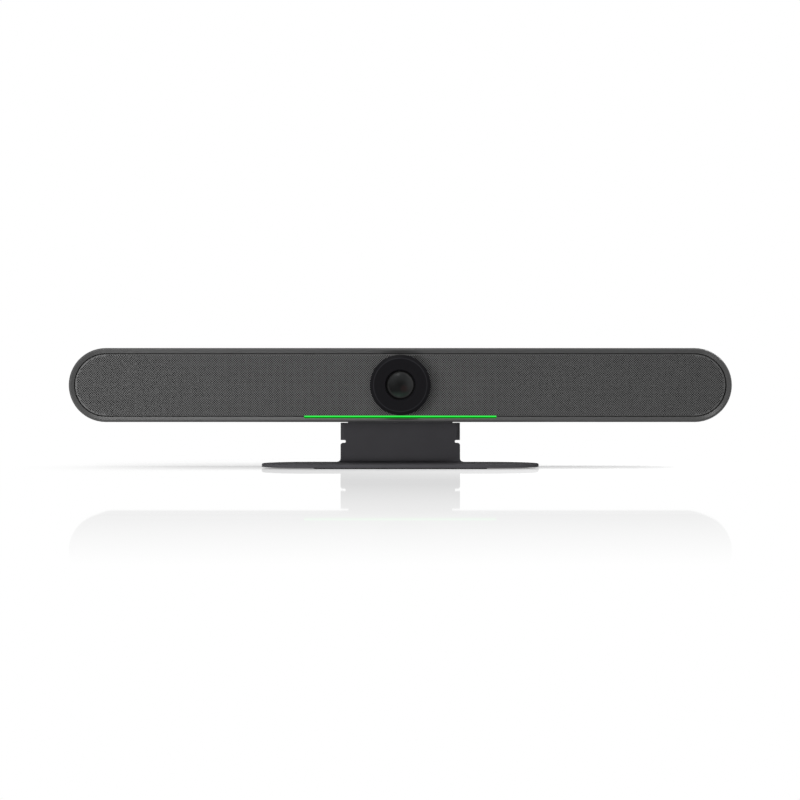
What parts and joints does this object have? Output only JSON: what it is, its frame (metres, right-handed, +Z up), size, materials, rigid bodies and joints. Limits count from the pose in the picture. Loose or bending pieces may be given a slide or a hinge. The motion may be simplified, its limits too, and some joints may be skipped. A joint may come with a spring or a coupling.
{
  "type": "conference camera",
  "caption": "Long rounded video bar with a central camera, full-width grille, status light, rear ports and a tilting table stand of bent sheet metal.",
  "frame": {"origin": "on the table surface, under the middle of the whole object", "axes": "+X along the bar to the viewer's right, -Y the way the lens looks, +Z up"},
  "size_m": [0.6, 0.116, 0.1085],
  "materials": {
    "stand_metal": "fine matt powder coat",
    "pad_rubber": "matt rubber",
    "hinge_steel": "brushed",
    "dark_screws": "black oxide",
    "housing_plastic": "fine spark texture",
    "bezel_plastic": "satin",
    "grille_metal": "matt anodised, finely perforated",
    "mesh_cloth": "open black cloth",
    "baffle_plastic": "moulded",
    "ring_plastic": "smooth satin black",
    "barrel_metal": "black anodised",
    "lens_glass": "coated",
    "filter_glass": "coated",
    "sensor_ceramic": "polished",
    "circuit_board": "solder mask",
    "chip_plastic": "moulded",
    "light_diffuser": "lit diffuser",
    "frame_steel": "painted",
    "cone_paper": "pressed fibre",
    "soft_rubber": "soft",
    "magnet_iron": "plated",
    "box_plastic": "moulded",
    "thermal_gel": "soft",
    "sink_metal": "extruded",
    "socket_steel": "plated",
    "jack_plastic": "moulded",
    "insert_brass": "knurled",
    "button_plastic": "satin"
  },
  "bodies": {
    "stand": {"stand_plate": "stand_metal", "base_pad": "pad_rubber", "pivot_screws": "dark_screws", "pivot_nuts": "hinge_steel", "friction_washers": "hinge_steel"},
    "bar": {"tilt_cradle": "stand_metal", "cradle_screws": "dark_screws", "cradle_inserts": "insert_brass", "rear_housing": "housing_plastic", "housing_screws": "dark_screws", "front_bezel": "bezel_plastic", "grille": "grille_metal", "acoustic_mesh": "mesh_cloth", "front_baffle": "baffle_plastic", "baffle_screws": "dark_screws", "lens_ring": "ring_plastic", "lens_barrel": "barrel_metal", "front_lens": "lens_glass", "middle_lens": "lens_glass", "rear_lens": "lens_glass", "lens_spacer": "barrel_metal", "lens_retainer": "barrel_metal", "camera_holder": "baffle_plastic", "infrared_filter": "filter_glass", "image_sensor": "sensor_ceramic", "camera_board": "circuit_board", "camera_screws": "dark_screws", "camera_board_screws": "dark_screws", "light_strip": "light_diffuser", "light_board": "circuit_board", "speaker_screws": "dark_screws", "left_microphone_board": "circuit_board", "right_microphone_board": "circuit_board", "microphone_boots": "soft_rubber", "main_board": "circuit_board", "processor": "chip_plastic", "thermal_pad": "thermal_gel", "heat_sink": "sink_metal", "board_screws": "hinge_steel", "network_port": "socket_steel", "video_ports": "socket_steel", "usb_ports": "socket_steel", "power_jack": "jack_plastic", "audio_jack": "jack_plastic", "button_switch": "jack_plastic", "left_speaker_frame": "frame_steel", "left_speaker_cone": "cone_paper", "left_speaker_surround": "soft_rubber", "left_speaker_magnet": "magnet_iron", "left_speaker_box": "box_plastic", "right_speaker_frame": "frame_steel", "right_speaker_cone": "cone_paper", "right_speaker_surround": "soft_rubber", "right_speaker_magnet": "magnet_iron", "right_speaker_box": "box_plastic"},
    "button": {"power_button": "button_plastic"}
  },
  "joints": [
    {"name": "tilt", "type": "hinge", "parent": "stand", "child": "bar", "pos_m": [0, 0.051, 0.031], "axis": [-1, 0, 0], "range_deg": [0, 15]},
    {"name": "power_press", "type": "slide", "parent": "bar", "child": "button", "axis": [0, -1, 0], "range_m": [0, 0.001], "stiffness_N_per_m": 300}
  ]
}
